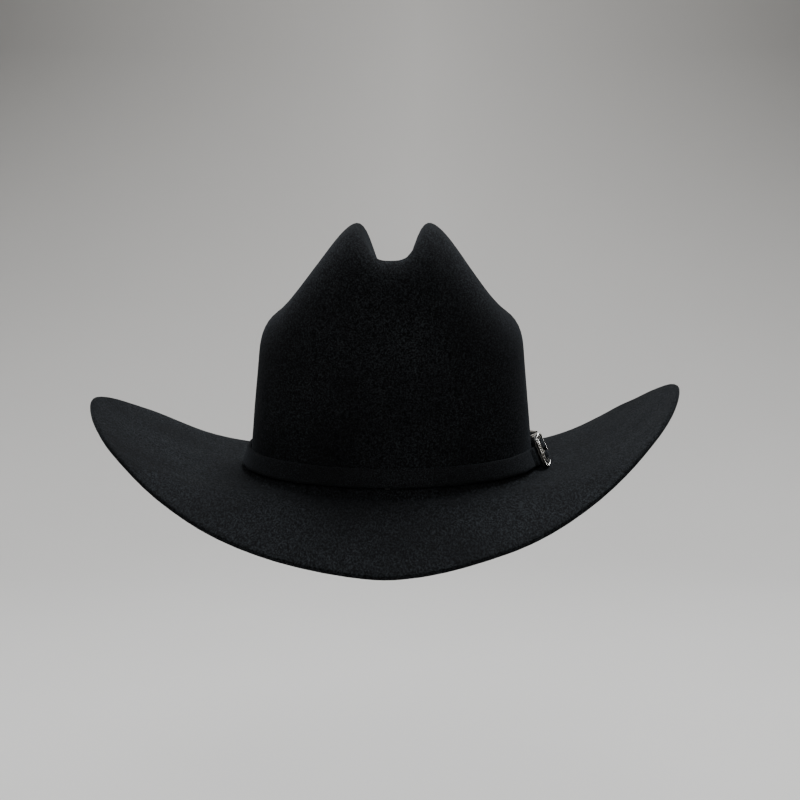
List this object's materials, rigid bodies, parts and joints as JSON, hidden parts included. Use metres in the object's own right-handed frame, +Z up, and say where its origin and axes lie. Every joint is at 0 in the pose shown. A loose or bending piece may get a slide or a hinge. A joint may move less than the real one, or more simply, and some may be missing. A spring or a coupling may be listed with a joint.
{
  "type": "cowboy hat",
  "caption": "Black felt western hat with a creased crown, rolled brim, felt hatband with an engraved buckle set, leather sweatband and lining.",
  "frame": {"origin": "centre of the head opening, level with the line where crown and brim meet", "axes": "+Z up through the crown, -Y towards the front of the hat, +X towards the wearer's left, where the buckle is"},
  "size_m": [0.3618, 0.399, 0.1857],
  "materials": {
    "felt": "matt napped felt",
    "leather": "smooth, satin",
    "reed": "satin",
    "tape": "woven, matt",
    "thread": "twisted, matt",
    "ribbon": "ribbed, silky",
    "satin": "satin weave",
    "clear_sheet": "clear, glossy",
    "silver": "engraved, blackened in the recesses"
  },
  "bodies": {
    "hat": {"felt_body": "felt", "hatband": "felt", "sweatband": "leather", "buckle_chape": "leather", "sweatband_reed": "reed", "reed_tape": "tape", "back_seam_tape": "tape", "sweatband_thread": "thread", "chape_thread": "thread", "band_tack_front": "thread", "band_tack_back": "thread", "band_tack_right": "thread", "bow_ribbon": "ribbon", "bow_knot": "ribbon", "lining_piping": "ribbon", "lining_side": "satin", "lining_tip": "satin", "tip_shield": "clear_sheet", "strap_tip": "silver", "tip_pin_front": "silver", "tip_pin_rear": "silver"},
    "buckle": {"buckle_frame": "silver"},
    "tongue": {"buckle_tongue": "silver"},
    "keeper": {"keeper_loop": "silver"}
  },
  "joints": [
    {"name": "buckle_pivot", "type": "hinge", "parent": "hat", "child": "buckle", "pos_m": [0.09132, -0.01101, 0.01211], "axis": [-0.3989, 0.0501, 0.9156], "range_deg": [0, 20]},
    {"name": "tongue_pivot", "type": "hinge", "parent": "buckle", "child": "tongue", "pos_m": [0.09132, -0.01101, 0.01211], "axis": [-0.3989, 0.0501, 0.9156], "range_deg": [0, 70]},
    {"name": "keeper_slide", "type": "slide", "parent": "hat", "child": "keeper", "axis": [-0.0821, 0.9966, -0.0059], "range_m": [-0.003, 0.003]}
  ]
}
